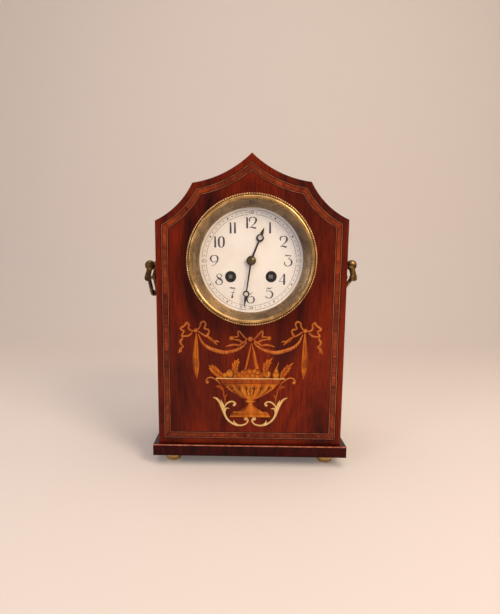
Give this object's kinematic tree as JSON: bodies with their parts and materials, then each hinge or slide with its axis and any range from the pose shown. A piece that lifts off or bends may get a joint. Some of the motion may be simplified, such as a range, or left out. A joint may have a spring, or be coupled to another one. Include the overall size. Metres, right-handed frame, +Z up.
{
  "type": "lancet clock",
  "caption": "Shaped-top wooden mantel clock on bun feet with a round striking movement, hinged bezel, side bails and opening rear door.",
  "frame": {"origin": "on the ground under the middle of the clock's bounding box", "axes": "+Z up, -Y towards the viewer out of the dial, +X to the viewer's right"},
  "size_m": [0.2232, 0.1544, 0.3095],
  "materials": {
    "mahogany": "french polished, satin gloss",
    "crossbanding": "polished cross-grain",
    "boxwood": "polished",
    "pine": "unfinished",
    "aged_brass": "dull, lacquered",
    "bezel_brass": "polished, lacquered",
    "glass": "clear",
    "enamel": "glossy vitreous enamel",
    "blued_steel": "heat blued",
    "plate_brass": "brushed",
    "steel": "polished",
    "gong_steel": "blued",
    "cast_iron": "black"
  },
  "bodies": {
    "root": {"plinth": "mahogany", "bun_feet": "aged_brass", "plinth_stringing": "boxwood", "case_front": "mahogany", "front_banding": "crossbanding", "front_stringing": "boxwood", "case_left_side": "mahogany", "case_right_side": "mahogany", "case_top": "mahogany", "case_back": "mahogany", "glue_blocks": "pine", "handle_brackets": "aged_brass", "bezel_frame": "bezel_brass", "sight_ring": "bezel_brass", "dial": "enamel", "front_plate": "plate_brass", "back_plate": "plate_brass", "pillars": "plate_brass", "movement_straps": "plate_brass", "strap_screws": "steel", "suspension_cock": "plate_brass", "suspension_spring": "blued_steel", "gong": "gong_steel", "gong_boss": "cast_iron", "rear_ring": "plate_brass", "rear_hinge_pin": "plate_brass"},
    "left_bail": {"left_bail": "aged_brass"},
    "right_bail": {"right_bail": "aged_brass"},
    "bezel_door": {"bezel_door": "bezel_brass", "bezel_glass": "glass", "bezel_hinge_pin": "bezel_brass"},
    "rear_door": {"rear_door": "plate_brass"},
    "minute_hand": {"cannon_pinion": "plate_brass", "minute_hand": "blued_steel", "hand_nut": "bezel_brass"},
    "hour_hand": {"hour_wheel": "plate_brass", "hour_hand": "blued_steel"},
    "minute_wheel": {"minute_wheel": "plate_brass"},
    "going_barrel": {"going_barrel": "plate_brass", "going_mainspring": "blued_steel"},
    "going_winding_arbor": {"going_winding_arbor": "steel"},
    "going_second_wheel": {"going_second_wheel": "plate_brass"},
    "centre_wheel": {"centre_wheel": "plate_brass"},
    "third_wheel": {"third_wheel": "plate_brass"},
    "escape_wheel": {"escape_wheel": "plate_brass"},
    "pallets": {"pallets": "steel"},
    "pendulum": {"pendulum_rod": "plate_brass", "pendulum_bob": "plate_brass"},
    "strike_barrel": {"strike_barrel": "plate_brass", "strike_mainspring": "blued_steel"},
    "strike_winding_arbor": {"strike_winding_arbor": "steel"},
    "strike_second_wheel": {"strike_second_wheel": "plate_brass"},
    "pin_wheel": {"pin_wheel": "plate_brass"},
    "locking_wheel": {"locking_wheel": "plate_brass"},
    "fly": {"fly": "plate_brass"},
    "hammer": {"hammer": "steel"},
    "going_click": {"going_click": "steel"},
    "strike_click": {"strike_click": "steel"},
    "regulator_arbor": {"regulator_arbor": "steel"}
  },
  "joints": [
    {"name": "left_bail_swing", "type": "hinge", "parent": "root", "child": "left_bail", "pos_m": [-0.1085, 0.00725, 0.192], "axis": [0, -1, 0], "range_deg": [-107, 29]},
    {"name": "right_bail_swing", "type": "hinge", "parent": "root", "child": "right_bail", "pos_m": [0.1085, 0.00725, 0.192], "axis": [0, 1, 0], "range_deg": [-131, 5]},
    {"name": "bezel_open", "type": "hinge", "parent": "root", "child": "bezel_door", "pos_m": [0.0603, -0.06415, 0.209], "axis": [0, 0, 1], "range_deg": [0, 110]},
    {"name": "rear_door_open", "type": "hinge", "parent": "root", "child": "rear_door", "pos_m": [-0.046, 0.0743, 0.209], "axis": [0, 0, 1], "range_deg": [0, 115]},
    {"name": "minute_hand_turn", "type": "hinge", "parent": "root", "child": "minute_hand", "pos_m": [0, -0.02955, 0.209], "axis": [0, -1, 0], "continuous": true},
    {"name": "hour_hand_turn", "type": "hinge", "parent": "root", "child": "hour_hand", "pos_m": [0, -0.02955, 0.209], "axis": [0, -1, 0], "continuous": true},
    {"name": "minute_wheel_turn", "type": "hinge", "parent": "root", "child": "minute_wheel", "pos_m": [0, -0.02955, 0.197], "axis": [0, -1, 0], "continuous": true},
    {"name": "going_barrel_turn", "type": "hinge", "parent": "root", "child": "going_barrel", "pos_m": [0.01965, -0.02955, 0.1937], "axis": [0, -1, 0], "continuous": true},
    {"name": "going_winding", "type": "hinge", "parent": "root", "child": "going_winding_arbor", "pos_m": [0.01965, -0.02955, 0.1937], "axis": [0, -1, 0], "continuous": true},
    {"name": "going_second_turn", "type": "hinge", "parent": "root", "child": "going_second_wheel", "pos_m": [0.01365, -0.02955, 0.21445], "axis": [0, -1, 0], "continuous": true},
    {"name": "centre_turn", "type": "hinge", "parent": "root", "child": "centre_wheel", "pos_m": [0, -0.02955, 0.209], "axis": [0, -1, 0], "continuous": true},
    {"name": "third_turn", "type": "hinge", "parent": "root", "child": "third_wheel", "pos_m": [-0.00535, -0.02955, 0.22237], "axis": [0, -1, 0], "continuous": true},
    {"name": "escape_turn", "type": "hinge", "parent": "root", "child": "escape_wheel", "pos_m": [0, -0.02955, 0.233], "axis": [0, -1, 0], "continuous": true},
    {"name": "pendulum_swing", "type": "hinge", "parent": "root", "child": "pendulum", "pos_m": [0, 0.00265, 0.2426], "axis": [0, -1, 0], "range_deg": [-3, 3]},
    {"name": "pallets_rock", "type": "hinge", "parent": "root", "child": "pallets", "pos_m": [0, -0.00735, 0.2426], "axis": [0, -1, 0], "range_deg": [-3, 3]},
    {"name": "strike_barrel_turn", "type": "hinge", "parent": "root", "child": "strike_barrel", "pos_m": [-0.01965, -0.02955, 0.1937], "axis": [0, -1, 0], "continuous": true},
    {"name": "strike_winding", "type": "hinge", "parent": "root", "child": "strike_winding_arbor", "pos_m": [-0.01965, -0.02955, 0.1937], "axis": [0, -1, 0], "continuous": true},
    {"name": "strike_second_turn", "type": "hinge", "parent": "root", "child": "strike_second_wheel", "pos_m": [-0.02597, -0.02955, 0.21436], "axis": [0, -1, 0], "continuous": true},
    {"name": "pin_wheel_turn", "type": "hinge", "parent": "root", "child": "pin_wheel", "pos_m": [-0.02191, -0.02955, 0.22849], "axis": [0, -1, 0], "continuous": true},
    {"name": "locking_turn", "type": "hinge", "parent": "root", "child": "locking_wheel", "pos_m": [-0.01192, -0.02955, 0.23548], "axis": [0, -1, 0], "continuous": true},
    {"name": "fly_turn", "type": "hinge", "parent": "root", "child": "fly", "pos_m": [-0.01926, -0.02955, 0.24143], "axis": [0, -1, 0], "continuous": true},
    {"name": "hammer_lift", "type": "hinge", "parent": "root", "child": "hammer", "pos_m": [-0.0415, -0.00935, 0.213], "axis": [0, 1, 0], "range_deg": [0, 14], "stiffness_Nm_per_rad": 0.02},
    {"name": "going_click_lift", "type": "hinge", "parent": "root", "child": "going_click", "pos_m": [0.02825, -0.04975, 0.1989], "axis": [0, 1, 0], "range_deg": [0, 12], "stiffness_Nm_per_rad": 0.0005},
    {"name": "strike_click_lift", "type": "hinge", "parent": "root", "child": "strike_click", "pos_m": [-0.02825, -0.04975, 0.1989], "axis": [0, -1, 0], "range_deg": [0, 12], "stiffness_Nm_per_rad": 0.0005},
    {"name": "regulator_turn", "type": "hinge", "parent": "root", "child": "regulator_arbor", "pos_m": [0, -0.02955, 0.2626], "axis": [0, -1, 0], "continuous": true}
  ],
  "couplings": [
    {"joint": "minute_wheel_turn", "follows": "minute_hand_turn", "ratio": -0.33333},
    {"joint": "hour_hand_turn", "follows": "minute_hand_turn", "ratio": 0.083333},
    {"joint": "escape_turn", "follows": "third_turn", "ratio": -11},
    {"joint": "centre_turn", "follows": "third_turn", "ratio": -0.083333},
    {"joint": "going_second_turn", "follows": "third_turn", "ratio": 0.013889},
    {"joint": "going_barrel_turn", "follows": "third_turn", "ratio": -0.0019841},
    {"joint": "pallets_rock", "follows": "pendulum_swing", "ratio": 1},
    {"joint": "fly_turn", "follows": "locking_turn", "ratio": -8},
    {"joint": "pin_wheel_turn", "follows": "locking_turn", "ratio": -0.1},
    {"joint": "strike_second_turn", "follows": "locking_turn", "ratio": 0.016667},
    {"joint": "strike_barrel_turn", "follows": "locking_turn", "ratio": -0.002381}
  ]
}
